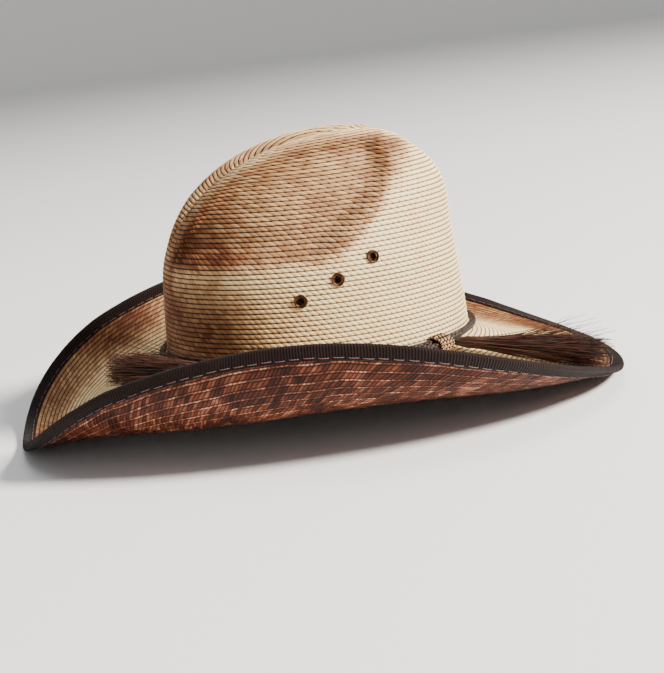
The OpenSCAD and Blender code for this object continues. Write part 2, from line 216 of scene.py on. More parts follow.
def dent(p):
    """How far a point of the crown is pushed in by the side dents."""
    floor_ease, rear_ease, top_ease, side_ease = 16, 18, 12, 28
    x, y, z = np.abs(p[..., 0]), p[..., 1], p[..., 2]
    below_ridge = ridge_height(y) - z - 2
    return (DENT_DEPTH * smooth((z - DENT_FLOOR) / floor_ease) * smooth((dent_rear(z) - y) / rear_ease)
            * smooth(below_ridge / top_ease) * np.minimum(1, x / side_ease))


def crown_grid(t, v):
    """Points of the undented outer face, with shape (levels, turns, 3)."""
    guides = [guide_point(k, t) for k in range(-1, 7)]
    headings = [unit(guides[k + 1] - guides[k - 1]) for k in range(1, 6)]
    inward = np.zeros_like(guides[0])
    inward[:, 0] = np.where(sind(t) >= 0, -1, 1)
    headings.append(inward)
    rows = []
    for level in v:
        k = min(4, int(level))
        s = level - k
        a, b = guides[k + 1], guides[k + 2]
        h = np.linalg.norm(b - a, axis=-1, keepdims=True)
        rows.append(a * (2 * s**3 - 3 * s * s + 1) + b * (3 * s * s - 2 * s**3)
                    + h * (s**3 - 2 * s * s + s) * headings[k] + h * (s**3 - s * s) * headings[k + 1])
    return np.array(rows)


def dented(p):
    q = p.copy()
    q[..., 0] -= np.sign(p[..., 0]) * dent(p)
    return q


def turn_run(p):
    """Direction of the turns at each point of a grid that closes on itself along its second axis."""
    return np.roll(p, -1, axis=1) - np.roll(p, 1, axis=1)


def grid_normals(p):
    """Outward unit normals of a crown grid."""
    n = np.cross(turn_run(p), np.gradient(p, axis=0))
    # The two ends of the crease have no width along the turn, so they take their neighbours' normal.
    n[-1, 0] = n[-1, 1] + n[-1, -1]
    half = p.shape[1] // 2
    n[-1, half] = n[-1, half - 1] + n[-1, half + 1]
    return unit(n)


# ---- Meshes ----


def put(name, data):
    """Object of that name in the scene."""
    obj = bpy.data.objects.new(name, data)
    bpy.context.scene.collection.objects.link(obj)
    return obj


def add_object(name, verts, faces, material, body, replaces=(), uv=None, attributes=None):
    """Object from points of the worn frame. faces is one array of quads or triangles."""
    verts = to_row(np.reshape(verts, (-1, 3)))
    sides = faces.shape[1]
    mesh = bpy.data.meshes.new(name)
    mesh.vertices.add(len(verts))
    mesh.vertices.foreach_set("co", np.asarray(verts, np.float32).ravel())
    mesh.loops.add(faces.size)
    mesh.loops.foreach_set("vertex_index", faces.ravel().astype(np.int32))
    mesh.polygons.add(len(faces))
    mesh.polygons.foreach_set("loop_start", np.arange(0, faces.size, sides, dtype=np.int32))
    mesh.update(calc_edges=True)
    mesh.polygons.foreach_set("use_smooth", np.ones(len(faces), bool))
    if uv is not None:
        layer = mesh.uv_layers.new(name="braid")
        layer.data.foreach_set("uv", np.asarray(uv, np.float32).ravel())
    for key, values in (attributes or {}).items():
        a = mesh.attributes.new(key, "FLOAT", "POINT")
        a.data.foreach_set("value", np.asarray(values, np.float32).ravel())
    mesh.validate()
    mesh.materials.append(material)
    obj = put(name, mesh)
    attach(obj, body)
    if replaces:
        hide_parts(*replaces)
    return obj


def ring_quads(rows, turns, flip=False):
    """Quads of a grid of rows by turns that closes along the turns."""
    i, j = np.meshgrid(np.arange(rows - 1), np.arange(turns), indexing="ij")
    k = (j + 1) % turns
    q = np.stack([i * turns + j, i * turns + k, (i + 1) * turns + k, (i + 1) * turns + j], -1).reshape(-1, 4)
    return q[:, ::-1] if flip else q


def corner_uv(u, r, rows, turns, flip=False):
    """Corner coordinates for ring_quads. u and r have one column more than the grid, past the seam."""
    i, j = np.meshgrid(np.arange(rows - 1), np.arange(turns), indexing="ij")
    corners = [(i, j), (i, j + 1), (i + 1, j + 1), (i + 1, j)]
    if flip:
        corners = corners[::-1]
    return np.stack([np.stack([u[c], r[c]], -1) for c in corners], -2).reshape(-1, 2)


def tubes(paths, radii, sides, ref):
    """Vertices and quads of tubes along paths (tubes, points, 3), with ref as the direction of side 0."""
    run = unit(np.gradient(paths, axis=1))
    ref = np.broadcast_to(ref, paths.shape)
    side = unit(ref - run * np.sum(ref * run, -1, keepdims=True))
    other = np.cross(run, side)
    a = np.arange(sides) * 2 * np.pi / sides
    ring = side[:, :, None] * np.cos(a)[:, None] + other[:, :, None] * np.sin(a)[:, None]
    verts = paths[:, :, None] + ring * np.broadcast_to(radii, paths.shape[:2])[:, :, None, None]
    m, n = paths.shape[:2]
    t, i, j = np.meshgrid(np.arange(m), np.arange(n - 1), np.arange(sides), indexing="ij")
    k = (j + 1) % sides
    base = (t * n + i) * sides
    quads = np.stack([base + j, base + k, base + sides + k, base + sides + j], -1).reshape(-1, 4)
    return verts.reshape(-1, 3), quads


def tube_uv(quads, count, along, sides):
    """Corner coordinates of tubes: the tube's number, and the value of along at the point."""
    owner = np.repeat(np.arange(count), len(along) * sides)
    down = np.tile(np.repeat(along, sides), count)
    return np.stack([owner[quads], down[quads]], -1)


def fract(a):
    return a - np.floor(a)


def hash01(a, b):
    """Fixed pseudo-random value from 0 to 1 for each pair of whole numbers."""
    return fract(np.sin(a * 12.9898 + b * 78.233) * 43758.5453)


# ---- Materials ----


def linear(colour):
    """sRGB from 0 to 255 to a linear colour."""
    c = np.array(colour) / 255
    c = np.where(c <= 0.04045, c / 12.92, ((c + 0.055) / 1.055) ** 2.4)
    return (*c.tolist(), 1.0)


class Paint:
    """Small helper for building one node material. Colours are sRGB from 0 to 255."""

    def __init__(self, name, roughness, specular=0.3):
        self.material = bpy.data.materials.new(name)
        self.material.use_nodes = True
        self.tree = self.material.node_tree
        self.shader = self.tree.nodes["Principled BSDF"]
        self.shader.inputs["Roughness"].default_value = roughness
        self.shader.inputs["Specular IOR Level"].default_value = specular

    def node(self, kind, inputs=None, **props):
        n = self.tree.nodes.new(kind)
        for key, value in props.items():
            setattr(n, key, value)
        for key, value in (inputs or {}).items():
            self.feed(n.inputs[key], value)
        return n

    def feed(self, socket, value):
        if isinstance(value, bpy.types.NodeSocket):
            self.tree.links.new(value, socket)
        else:
            socket.default_value = linear(value) if isinstance(value, tuple) else value

    def math(self, op, a, b=0.0, clamp=False):
        return self.node("ShaderNodeMath", {0: a, 1: b}, operation=op, use_clamp=clamp).outputs[0]

    def add(self, a, b, clamp=False):
        return self.math("ADD", a, b, clamp)

    def mul(self, a, b):
        return self.math("MULTIPLY", a, b)

    def centred(self, a, middle, scale):
        return self.mul(self.math("SUBTRACT", a, middle), scale)

    def invert(self, a):
        return self.math("SUBTRACT", 1.0, a)

    def fract(self, a):
        return self.math("FRACT", a)

    def floor(self, a):
        return self.math("FLOOR", a)

    def step(self, value, low, high, out_low=0.0, out_high=1.0):
        inputs = {0: value, 1: low, 2: high, 3: out_low, 4: out_high}
        return self.node("ShaderNodeMapRange", inputs, interpolation_type="SMOOTHSTEP").outputs[0]

    def mix(self, fac, a, b, blend="MIX"):
        n = self.node("ShaderNodeMix", {0: fac, 6: a, 7: b}, data_type="RGBA", blend_type=blend)
        return n.outputs[2]

    def ramp(self, fac, stops):
        n = self.node("ShaderNodeValToRGB", {0: fac})
        ramp = n.color_ramp
        while len(ramp.elements) < len(stops):
            ramp.elements.new(0.5)
        for e, (at, colour) in zip(ramp.elements, stops):
            e.position, e.color = at, linear(colour)
        return n.outputs[0]

    def noise(self, vector, scale, detail=2.0, roughness=0.5):
        inputs = {"Vector": vector, "Scale": scale, "Detail": detail, "Roughness": roughness}
        return self.node("ShaderNodeTexNoise", inputs).outputs[0]

    def place(self):
        return self.node("ShaderNodeTexCoord").outputs["Object"]

    def uv(self):
        n = self.node("ShaderNodeSeparateXYZ", {0: self.node("ShaderNodeUVMap", uv_map="braid").outputs[0]})
        return n.outputs[0], n.outputs[1]

    def attribute(self, name):
        return self.node("ShaderNodeAttribute", attribute_name=name).outputs["Fac"]

    def vector(self, x, y, z=0.0):
        return self.node("ShaderNodeCombineXYZ", {0: x, 1: y, 2: z}).outputs[0]

    def random(self, x, y):
        n = self.node("ShaderNodeTexWhiteNoise", {"Vector": self.vector(x, y)}, noise_dimensions="2D")
        return n.outputs["Value"]

    def bump(self, height, distance, strength):
        inputs = {"Height": height, "Distance": distance, "Strength": strength}
        return self.node("ShaderNodeBump", inputs).outputs[0]

    def finish(self, colour, normal=None, roughness=None):
        self.feed(self.shader.inputs["Base Color"], colour)
        if normal is not None:
            self.feed(self.shader.inputs["Normal"], normal)
        if roughness is not None:
            self.feed(self.shader.inputs["Roughness"], roughness)
        return self.material


ROW_STAGGER = 0.618
STRAW = [
    (0.0, (255, 231, 178)),
    (0.2, (248, 212, 157)),
    (0.42, (202, 162, 115)),
    (0.64, (154, 110, 72)),
    (0.82, (116, 66, 38)),
    (1.0, (62, 30, 16)),
]
LEAF = [
    (0.0, (30, 10, 5)),
    (0.35, (84, 38, 23)),
    (0.6, (132, 72, 48)),
    (0.8, (186, 122, 92)),
    (1.0, (226, 176, 144)),
]


def strand_cells(paint, slant):
    """Row fraction, strand fraction and a random value for each strand of a braid."""
    u, r = paint.uv()
    row = paint.floor(r)
    f = paint.fract(r)
    lean = paint.mul(f, slant)
    stagger = paint.fract(paint.mul(row, ROW_STAGGER))
    q = paint.add(paint.add(u, lean), stagger)
    return f, q, paint.fract(q), paint.random(paint.floor(q), row), r


def near_edge(paint, fraction, width):
    """0 on the edge of a cell and 1 from width inwards."""
    other = paint.invert(fraction)
    return paint.step(paint.math("MINIMUM", fraction, other), 0.0, width)


def rope_braid(name, slant, gap=0.25, patchy=0.5):
    """Twisted palm braid. Its point attribute says how dark it is, from scorch and from painted shade."""
    p = Paint(name, 0.62, 0.16)
    f, q, s, rand, r = strand_cells(p, slant)
    scorch_and_shade = p.attribute("scorch_and_shade")
    blotch = p.centred(p.noise(p.place(), 38.0, 4.0, 0.6), 0.5, patchy)
    strand = p.centred(rand, 0.5, 0.2)
    tone = p.add(p.add(scorch_and_shade, blotch), strand, clamp=True)
    colour = p.ramp(tone, STRAW)
    fibre = p.noise(p.vector(p.mul(q, 7.0), p.mul(r, 1.6), rand), 1.0, 3.0, 0.6)
    colour = p.mix(p.step(fibre, 0.3, 0.75, 0.0, 0.3), colour, (150, 106, 70), "MULTIPLY")
    rows = near_edge(p, f, gap)
    strands = near_edge(p, s, 0.2)
    # The gaps between rows and between strands and the crossings are darkened as painted shade, partly real
    # dirt, and more where it is scorched. Some crossings also have a random dark speck.
    speck = p.step(p.random(p.floor(p.add(q, 0.5)), p.floor(p.add(r, 0.5))), 0.55, 1.0)
    cross = p.mul(p.invert(rows), p.invert(strands))
    dark = p.mul(p.add(p.mul(speck, 0.55), 0.35), cross)
    groove_shade_and_dirt = p.mul(p.invert(rows), p.add(p.mul(scorch_and_shade, 0.3), 0.92))
    seam = p.mul(p.invert(strands), p.add(p.mul(scorch_and_shade, 0.35), 0.08))
    shade = p.add(p.add(groove_shade_and_dirt, seam), dark, clamp=True)
    colour = p.mix(shade, colour, (44, 21, 11))
    height = p.add(p.mul(strands, 0.7), p.mul(fibre, 0.35))
    normal = p.bump(height, 0.0004, 0.8)
    return p.finish(colour, normal, p.step(fibre, 0.2, 0.8, 0.5, 0.75))


def leaf_braid(name, slant):
    """Coarse flat braid of scorched leaf. The attribute trough says how flat it lies and how much grey
    painted sheen it takes.
    """
    p = Paint(name, 0.5, 0.16)
    f, q, s, rand, r = strand_cells(p, slant)
    trough = p.attribute("trough")
    fibre = p.noise(p.vector(p.mul(q, 9.0), p.mul(r, 2.2), rand), 1.0, 4.0, 0.65)
    blotch = p.noise(p.place(), 55.0, 3.0, 0.6)
    tone = p.add(p.mul(rand, 0.42), p.mul(fibre, 0.45))
    tone = p.add(tone, p.centred(blotch, 0.58, 1.1))
    edge = p.invert(near_edge(p, f, 0.15))
    worn = p.step(p.noise(p.place(), 130.0, 3.0, 0.6), 0.4, 0.64, 0.22, 0.5)
    tone = p.add(tone, p.mul(edge, worn), clamp=True)
    colour = p.ramp(tone, LEAF)
    # Towards the crown the braid is tinted grey-purple, a painted sheen.
    colour = p.mix(p.mul(trough, 0.35), colour, (116, 88, 84))
    cut_shade = p.invert(near_edge(p, s, 0.28))
    # The strands dive under a cord on each side of the row. The cuts between strands and the lines beside
    # each cord are painted shade.
    sides = [p.invert(near_edge(p, p.fract(p.add(f, at)), 0.12)) for at in (0.84, 0.16)]
    cord_shade = p.math("MAXIMUM", *sides)
    shade = p.math("MAXIMUM", p.mul(cut_shade, 0.8), p.mul(cord_shade, 0.95))
    colour = p.mix(shade, colour, (24, 8, 5))
    height = p.add(p.mul(near_edge(p, s, 0.25), 0.6), p.mul(fibre, 0.5))
    return p.finish(colour, p.bump(height, 0.0005, 0.8), p.step(fibre, 0.2, 0.8, 0.38, 0.65))


def grosgrain(name, colour_low, colour_high):
    """Ribbed ribbon. The first coordinate counts ribs and the second runs across from 0 to 1."""
    p = Paint(name, 0.8, 0.1)
    u, v = p.uv()
    rib = p.fract(u)
    crest = p.math("SINE", p.mul(rib, math.pi))
    thread = p.math("SINE", p.mul(v, 150.0))
    wear = p.noise(p.place(), 90.0, 4.0, 0.65)
    # The crests of the ribs are painted lighter as a painted highlight, mixed with patchy wear.
    tone = p.add(p.mul(crest, 0.55), p.mul(wear, 0.45))
    colour = p.mix(p.step(tone, 0.25, 0.95), colour_low, colour_high)
    height = p.add(crest, p.mul(thread, 0.08))
    p.shader.inputs["Sheen Weight"].default_value = 0.06
    p.shader.inputs["Sheen Roughness"].default_value = 0.5
    return p.finish(colour, p.bump(height, 0.0003, 0.9))


def hair_paint(name, low, high, roughness=0.38):
    """Hair. The first coordinate is the hair's own number and the second runs along it."""
    p = Paint(name, roughness, 0.3)
    u, v = p.uv()
    rand = p.random(p.floor(u), 1.0)
    streak = p.noise(p.vector(u, p.mul(v, 3.0)), 2.0, 2.0)
    tone = p.add(p.mul(rand, 0.7), p.mul(streak, 0.4))
    colour = p.mix(p.step(tone, 0.25, 1.0), low, high)
    return p.finish(colour)


def leather_paint(name):
    p = Paint(name, 0.45, 0.4)
    place = p.place()
    grain = p.node("ShaderNodeTexVoronoi", {"Vector": place, "Scale": 900.0}).outputs["Distance"]
    worn = p.noise(place, 45.0, 4.0, 0.6)
    colour = p.mix(p.step(worn, 0.3, 0.75), (62, 36, 24), (104, 64, 42))
    height = p.add(grain, p.mul(p.noise(place, 260.0, 3.0), 0.4))
    return p.finish(colour, p.bump(height, 0.0003, 0.6), p.step(worn, 0.2, 0.8, 0.36, 0.58))


def metal_paint(name, low, high, roughness):
    p = Paint(name, roughness, 0.5)
    p.shader.inputs["Metallic"].default_value = 1.0
    place = p.place()
    tarnish = p.noise(place, 420.0, 4.0, 0.7)
    colour = p.mix(p.step(tarnish, 0.35, 0.7), low, high)
    return p.finish(colour, p.bump(p.noise(place, 1500.0, 2.0), 0.0001, 0.4),
                    p.step(tarnish, 0.3, 0.8, roughness - 0.08, roughness + 0.15))


def reed_paint(name):
    p = Paint(name, 0.5, 0.4)
    streak = p.noise(p.place(), 300.0, 3.0)
    colour = p.mix(streak, (196, 184, 150), (226, 216, 188))
    return p.finish(colour, p.bump(streak, 0.0001, 0.4))


def thread_paint(name):
    p = Paint(name, 0.5, 0.3)
    u, v = p.uv()
    twist = p.math("SINE", p.add(p.mul(v, 40.0), p.mul(u, 2 * math.pi)))
    # Each twist of the thread is painted lighter on its crest and darker in its groove, as painted shade.
    colour = p.mix(p.step(twist, -1.0, 1.0), (62, 44, 43), (126, 97, 96))
    return p.finish(colour, p.bump(twist, 0.0001, 0.6))


# First coordinate of the sleeve under a knot, past the number of any strand
KNOT_SLEEVE = 100


def knot_paint(name):
    """Pale and dark strands by turns over a dark sleeve. The first coordinate is the strand's number."""
    p = Paint(name, 0.5, 0.35)
    u, v = p.uv()
    pick = p.fract(p.mul(p.floor(u), 0.5))
    rib = p.fract(p.mul(v, 2.0))
    colour = p.mix(p.step(pick, 0.3, 0.5), (52, 32, 24), (206, 166, 118))
    colour = p.mix(p.step(rib, 0.0, 1.0, 0.0, 0.4), colour, (120, 84, 56), "MULTIPLY")
    colour = p.mix(p.math("GREATER_THAN", u, KNOT_SLEEVE - 1), colour, (44, 27, 20))
    return p.finish(colour, p.bump(p.noise(p.place(), 1800.0, 2.0), 0.0001, 0.5))


# ---- Crown ----

CROWN_TURNS = 920
ROWS_PER_SPAN = (56, 54, 64, 66, 80)
CROWN_PITCH = 3.1
CROWN_SLANT = 0.9
# Rounding of each row, and of the strands twisted along it
OUTER_RELIEF, INNER_RELIEF = (0.85, 0.2), (0.3, 0.06)
VENT_RADIUS, VENT_REACH = 3.3, 12
# Strands round one row, from the brim break upwards, as the rows get shorter
STRANDS = ((50, 168), (88, 150), (118, 122), (150, 84), (400, 50))


def rope_relief(u, r, slant, rounding, twist):
    """Height of a rope braid over its base, from the strand count u and row number r."""
    f = fract(r)
    body = np.sqrt(np.clip(1 - 0.94 * (2 * f - 1) ** 2, 0, 1))
    q = u + slant * f + fract(np.floor(r) * ROW_STAGGER)
    return rounding * (body - 0.78) + twist * body * np.cos(2 * np.pi * (fract(q) - 0.5))


def crown_levels():
    return np.concatenate([k + np.arange(n) / n for k, n in enumerate(ROWS_PER_SPAN)] + [[5.0]])


NEIGHBOURS = ((0, 1), (1, 1), (1, 0), (1, -1), (0, -1), (-1, -1), (-1, 0), (-1, 1))
UNREACHED = 1e4


def neighbour(a, down, across, fill):
    """The grid's values one step away. It closes on itself along its second axis only."""
    out = np.roll(a, (-down, -across), (0, 1))
    if down:
        out[-1 if down > 0 else 0] = fill
    return out


def spread(p, rounds):
    """Distance over a grid of points from its first row, found as a wave that spreads at one speed."""
    reach = np.full(p.shape[:2], UNREACHED)
    reach[0] = 0
    edges = [neighbour(p, i, j, 0) - p for i, j in NEIGHBOURS]
    lengths = [np.linalg.norm(e, axis=-1) for e in edges]
    corners = []
    for k in range(len(edges)):
        a, b = edges[k], edges[(k + 1) % len(edges)]
        aa, ab, bb = (a * a).sum(-1), (a * b).sum(-1), (b * b).sum(-1)
        det = aa * bb - ab * ab
        sound = det > 1e-3 * aa * bb + 1e-9
        det = np.where(sound, det, 1)
        corners.append((bb / det, -ab / det, aa / det, sound))
    for _ in range(rounds):
        seen = [neighbour(reach, i, j, UNREACHED) for i, j in NEIGHBOURS]
        best = reach
        for k, (qa, qab, qb, sound) in enumerate(corners):
            after = (k + 1) % len(edges)
            a, b = seen[k], seen[after]
            total = qa + 2 * qab + qb
            middle = (qa + qab) * a + (qab + qb) * b
            rest = qa * a * a + 2 * qab * a * b + qb * b * b - 1
            inside = middle * middle - total * rest
            root = (middle + np.sqrt(np.maximum(inside, 0))) / np.where(sound, total, 1)
            da, db = a - root, b - root
            sound = (sound & (inside >= 0) & (qa * da + qab * db <= 0) & (qab * da + qb * db <= 0)
                     & (a < UNREACHED / 2) & (b < UNREACHED / 2))
            edge = np.minimum(a + lengths[k], b + lengths[after])
            best = np.minimum(best, np.where(sound, root, edge))
        reach = best
        reach[0] = 0
    return reach


def row_distance(t, v):
    """Distance from the brim break over the crown, which the rows of braid keep to."""
    turns, levels, rounds = 240, 76, 190
    coarse = spread(crown_grid(np.arange(turns) * 360 / turns, np.linspace(0, 5, levels)), rounds)
    i, j = np.asarray(v) / 5 * (levels - 1), np.asarray(t) / 360 * turns
    i0, j0 = np.minimum(i.astype(int), levels - 2), j.astype(int)
    fi, fj = (i - i0)[:, None], (j - j0)[None, :]
    near, far = j0 % turns, (j0 + 1) % turns
    low, high = (coarse[k][:, near] * (1 - fj) + coarse[k][:, far] * fj for k in (i0, i0 + 1))
    return low * (1 - fi) + high * fi


def crown_scorch_and_shade(p):
    """How dark the crown is: scorched most along the edges of the dents and least at the back, darker along
    the front of the crease, and darker at the front and low down partly from scorch and partly as painted
    shade.
    """
    x, y, z = np.abs(p[..., 0]), p[..., 1], p[..., 2]
    wave = 2.5 * np.sin(y / 9.0) + 2.0 * np.sin(z / 7.0 + 1.3)
    floor_side = z - DENT_FLOOR - 4
    rear_side = (dent_rear(z) + 2 - y) * 0.62 + wave
    top_side = ridge_height(y) - z - 5
    # Distance inwards from the darkest line round the dent
    inside = np.minimum(np.minimum(floor_side, rear_side), top_side) - 2
    outer = np.exp(-(np.minimum(inside, 0) / 6.5) ** 2)
    fade = 0.84 + 0.16 * np.exp(-np.maximum(inside, 0) / 8.0)
    edge = np.where(inside < 0, outer, fade)
    on_side = smooth((x - 12) / 16)
    front = smooth((-y - 30) / 70)
    # Darker on the low crown, except at the back: partly scorch, partly painted shade where the crown turns
    # away from the light.
    low = 0.24 * smooth((60 - z) / 30) * smooth((30 - y) / 90)
    crease = 0.3 * smooth((27 - x) / 8) * smooth((40 - y) / 60) * smooth((z - 40) / 30)
    # Painted shade on the lower front, which faces away from the light.
    low_front_shade = 0.2 * smooth((70 - z) / 20) * smooth((-y - 40) / 40)
    dents = on_side * edge * (0.56 + 0.12 * front)
    # The front is darkened partly by scorch and partly as painted shade.
    return np.clip(0.03 + dents + 0.26 * front + low + low_front_shade + crease, 0, 1)


def eyelet_axes():
    """Middle and outward direction of each vent on both sides, in the worn frame."""
    fine = np.linspace(0.5, 3, 2500)
    found = []
    for turn, height in zip(EYELET_TURN, EYELET_HEIGHT):
        t = np.array([turn - 1, turn, turn + 1.0])
        p = dented(crown_grid(t, fine))
        i = int(np.argmin(np.abs(p[:, 1, 2] - height)))
        n = unit(np.cross(p[i, 2] - p[i, 0], p[i + 8, 1] - p[i - 8, 1]))
        found += [(p[i, 1] * side, n * side) for side in ([1, 1, 1], [-1, 1, 1])]
    return found


def clear_of_vents(centres, axes):
    """True for each face that no vent passes through."""
    keep = np.ones(len(centres), bool)
    for p, n in axes:
        d = centres - p
        off = d - (d @ n)[:, None] * n
        keep &= (np.linalg.norm(off, axis=-1) >= VENT_RADIUS) | (np.abs(d @ n) >= VENT_REACH)
    return keep


def build_crown():
    t = np.arange(CROWN_TURNS + 1) * 360 / CROWN_TURNS
    v = crown_levels()
    base = crown_grid(t[:-1], v)
    climb = row_distance(t, v)
    face = dented(base)
    normal = grid_normals(face)
    r = climb / CROWN_PITCH
    count = np.full(climb.shape, float(STRANDS[-1][1]))
    for reach, strands in reversed(STRANDS[:-1]):
        count = np.where(np.floor(r) * CROWN_PITCH < reach, strands, count)
    u = t[None, :] / 360 * count
    outer = face + normal * rope_relief(u, r, CROWN_SLANT, *OUTER_RELIEF)[:, :-1, None]
    inner = face - normal * CROWN_WALL + normal * rope_relief(u, r, CROWN_SLANT, *INNER_RELIEF)[:, :-1, None]
    # The skirt below the brim break goes down to the lower face of the brim.
    foot = xyz(*oval_point(t[:-1], -0.02), 0)
    skirt = [foot - [0, 0, BRIM_PLY], foot - [0, 0, BRIM_PLY / 2]]
    scorch_and_shade = crown_scorch_and_shade(base)
    axes = eyelet_axes()

    def add_face(name, grid, below, material, replaces, every, flip):
        """One face of the crown, with every so many of the turns and the rows below it."""
        def thinned(a):
            return np.concatenate([np.repeat(a[:1], len(below), 0), a])[:, ::every]

        grid = np.concatenate([*[row[None] for row in below], grid])[:, ::every]
        rows, turns = grid.shape[:2]
        quads = ring_quads(rows, turns, flip)
        uv = corner_uv(thinned(u), thinned(r), rows, turns, flip).reshape(-1, 4, 2)
        keep = clear_of_vents(grid.reshape(-1, 3)[quads].mean(axis=1), axes)
        quads, uv = quads[keep], uv[keep]
        # Both sides of the crown share the crease, which is the last row.
        crease = (rows - 1) * turns
        remap = np.arange(rows * turns)
        remap[crease:] = crease + np.minimum(np.arange(turns), -np.arange(turns) % turns)
        quads = remap[quads]
        keep = np.ones(len(quads), bool)
        keep[-2 * turns:] = [len(set(q)) == 4 for q in quads[-2 * turns:]]
        add_object(name, grid, quads[keep], material, "hat_body", replaces, uv[keep],
                   {"scorch_and_shade": thinned(scorch_and_shade)})

    material = rope_braid("crown_straw", CROWN_SLANT)
    add_face("crown_braid", outer, skirt, material, ("crown",), 1, False)
    add_face("crown_inside", inner, [], material, (), 2, True)


# ---- Brim ----

# Both plies end this far inside the ribbon.
PLY_UNDER_RIBBON = 1.5
TOP_PITCH = 3.0


def brim_braid(rows, turns, depth, sign):
    """Turns, distances out, points and normals of one face of the brim."""
    t = np.arange(turns + 1) * 360 / turns
    l = (brim_width(t) - BINDING_WIDTH + PLY_UNDER_RIBBON) * np.linspace(0, 1, rows)[:, None]
    p = brim_point(np.broadcast_to(t[:-1], (rows, turns)), l[:, :-1], depth)
    return t, l, p, unit(np.cross(np.gradient(p, axis=0), turn_run(p))) * sign


def build_brim_top():
    rows, turns = 150, 1100
    t, l, p, n = brim_braid(rows, turns, 0.0, -1)
    r = l / TOP_PITCH
    # Each dozen rows has more strands, as the rows get longer.
    count = np.where(np.floor(r) < 12, 190.0, np.where(np.floor(r) < 24, 250.0, 310.0))
    u = t[None, :] / 360 * count
    near_rim = smooth((l - (brim_width(t)[None, :] - 42)) / 26)
    depth = 0.22 + 0.3 * near_rim[:, :-1]
    relief = rope_relief(u, r, CROWN_SLANT, 1.0, 0.22)[:, :-1] * depth
    wave = 0.09 * np.sin(np.radians(t) * 7 + 1) + 0.07 * np.sin(np.radians(t) * 13)
    # Scorched towards the rim, and a little darker within 20 mm of the crown.
    scorch_and_shade = np.clip(0.10 + 0.07 * smooth((20 - l) / 20) + (0.56 + wave[None, :]) * near_rim, 0, 1)
    add_object("brim_top_braid", p + n * relief[..., None], ring_quads(rows, turns),
               rope_braid("brim_straw", CROWN_SLANT, 0.24, 0.3), "hat_body", ("brim_top",),
               corner_uv(u, r, rows, turns), {"scorch_and_shade": scorch_and_shade[:, :-1]})


UNDER_PITCH = 5.5
UNDER_SLANT = -1.5


def leaf_relief(u, r):
    """Height of the coarse lower braid: leaning strands of uneven height between raised cords."""
    f = fract(r)
    row = np.floor(r)
    q = u + UNDER_SLANT * f + fract(row * ROW_STAGGER)
    lift = hash01(np.floor(q), row)
    cord = np.exp(-((np.minimum(f, 1 - f)) / 0.07) ** 2)
    band = smooth((np.minimum(f, 1 - f) - 0.1) / 0.1)
    strand = np.sin(np.pi * fract(q)) ** 0.8 * (0.35 + 0.65 * lift)
    return 0.6 * cord + band * (0.85 * strand - 0.15) - 0.25


def build_brim_under():
    rows, turns = 160, 1800
    t, l, p, n = brim_braid(rows, turns, BRIM_PLY, 1)
    a = np.radians(t)[None, :]
    r = l / UNDER_PITCH + 0.05 * np.sin(37 * a) * np.sin(5 * a + 1) + 0.05 * np.sin(23 * a + 2)
    row = np.floor(r)
    # Each row of strands is packed a little unevenly.
    packed = 0.45 * np.sin(a * np.round(20 + 30 * hash01(row, 1.0)) + 6 * hash01(row, 2.0))
    u = a / (2 * np.pi) * 440.0 + packed
    trough = smooth((62 - l) / 26)
    relief = leaf_relief(u, r)[:, :-1] * (1 - 0.55 * trough[:, :-1])
    # The last rows press flat under the ribbon, and the first ones meet the crown.
    relief *= smooth((brim_width(t[:-1])[None, :] - BINDING_WIDTH + 1 - l[:, :-1]) / 3)
    add_object("brim_under_braid", p + n * relief[..., None],
               ring_quads(rows, turns, True), leaf_braid("scorched_leaf", UNDER_SLANT), "hat_body",
               ("brim_under",), corner_uv(u, r, rows, turns, True),
               {"trough": trough[:, :-1]})


def build_binding():
    """Grosgrain ribbon folded over the edge, from a section of (distance out, depth) points."""
    turns, ribs = 3000, 720
    t = np.arange(turns + 1) * 360 / turns
    across, bend = 8, 12
    top = [(BINDING_WIDTH * (k / across - 1), 0.25 * (k == 0) - RIBBON_FACE) for k in range(across + 1)]
    bends = [math.pi * k / bend for k in range(1, bend)]
    nose = [(FOLD_REACH * math.sin(a) ** 0.8, BRIM_PLY / 2 - (BRIM_PLY / 2 + RIBBON_FACE) * math.cos(a))
            for a in bends]
    bottom = [(x, BRIM_PLY - d) for x, d in reversed(top)]
    section = top + nose + bottom
    # The hidden inner edge turns under the ribbon a little so that no gap shows.
    section = [(-BINDING_WIDTH, 0.1)] + section + [(-BINDING_WIDTH, BRIM_PLY - 0.1)]
    w = brim_width(t[:-1])
    p = np.array([brim_point(t[:-1], w + x, np.full(turns, d)) for x, d in section])
    crest = np.abs(np.sin(np.pi * t[:-1] / 360 * ribs)) - 0.6
    n = np.cross(np.gradient(p, axis=0), turn_run(p))
    sway = 0.25 * np.sin(np.radians(t[:-1]) * 31) * np.sin(np.radians(t[:-1]) * 12 + 2)
    p = p + unit(n) * -(0.12 * crest + 0.35 * np.maximum(sway, 0))[None, :, None]
    k = len(section)
    u = np.broadcast_to(t[None, :] / 360 * ribs, (k, turns + 1))
    v = np.broadcast_to(np.linspace(0, 1, k)[:, None], (k, turns + 1))
    add_object("ribbon_binding", p, ring_quads(k, turns),
               grosgrain("ribbon_cloth", (5, 2, 2), (37, 21, 17)), "hat_body",
               ("brim_binding",), corner_uv(u, v, k, turns))


